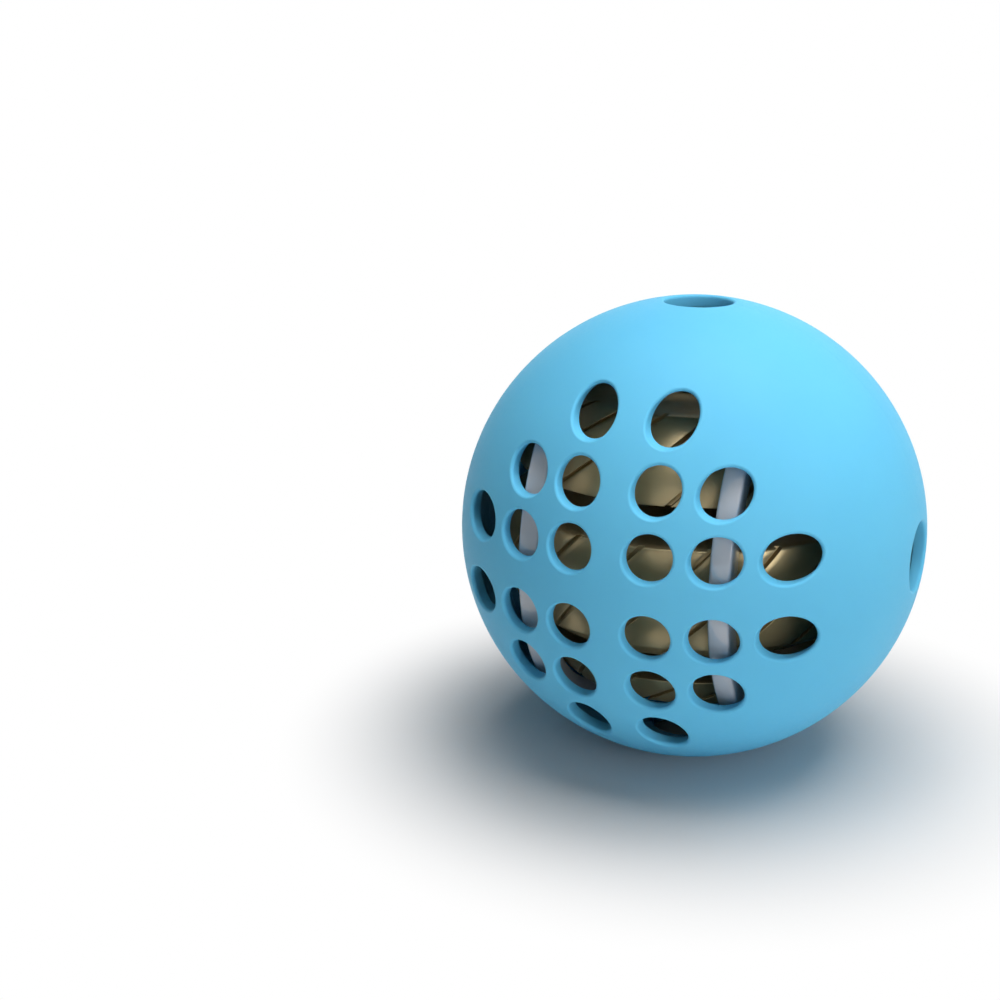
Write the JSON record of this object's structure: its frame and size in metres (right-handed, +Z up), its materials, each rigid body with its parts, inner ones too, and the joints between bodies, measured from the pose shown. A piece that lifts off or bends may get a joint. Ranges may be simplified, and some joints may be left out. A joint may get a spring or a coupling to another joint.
{
  "type": "anti-scale laundry ball",
  "caption": "Perforated blue plastic ball in two half shells, holding a slotted brass core of stacked discs between grey hoops; tumbles with the wash against limescale.",
  "frame": {"origin": "centre of the ball", "axes": "+Z up, through the two larger holes at the top and the bottom; the front half shell faces -Y; the third larger hole is on +X; the parting plane is Y = 0"},
  "size_m": [0.0894, 0.09, 0.0888],
  "materials": {
    "blue_shell": "satin moulded plastic, sky blue",
    "grey_frame": "smooth moulded plastic, cool light grey",
    "brass_core": "turned brass, slightly tarnished",
    "dark_spacer": "dark grey plastic",
    "steel_fastener": "plain stainless steel"
  },
  "bodies": {
    "back_and_core": {"shell_back": "blue_shell", "hoop_left": "grey_frame", "hoop_right": "grey_frame", "bridge_top": "grey_frame", "bridge_bottom": "grey_frame", "disc_top": "brass_core", "disc_middle": "brass_core", "disc_bottom": "brass_core", "spacer_upper": "dark_spacer", "spacer_lower": "dark_spacer", "collar_bottom": "dark_spacer", "washer_top": "steel_fastener", "tie_bolt": "steel_fastener", "lock_nut": "steel_fastener"},
    "front_half": {"shell_front": "blue_shell"}
  },
  "joints": [
    {"name": "front_half_pull", "type": "slide", "parent": "back_and_core", "child": "front_half", "axis": [0, -1, 0], "range_m": [0, 0.06]}
  ]
}
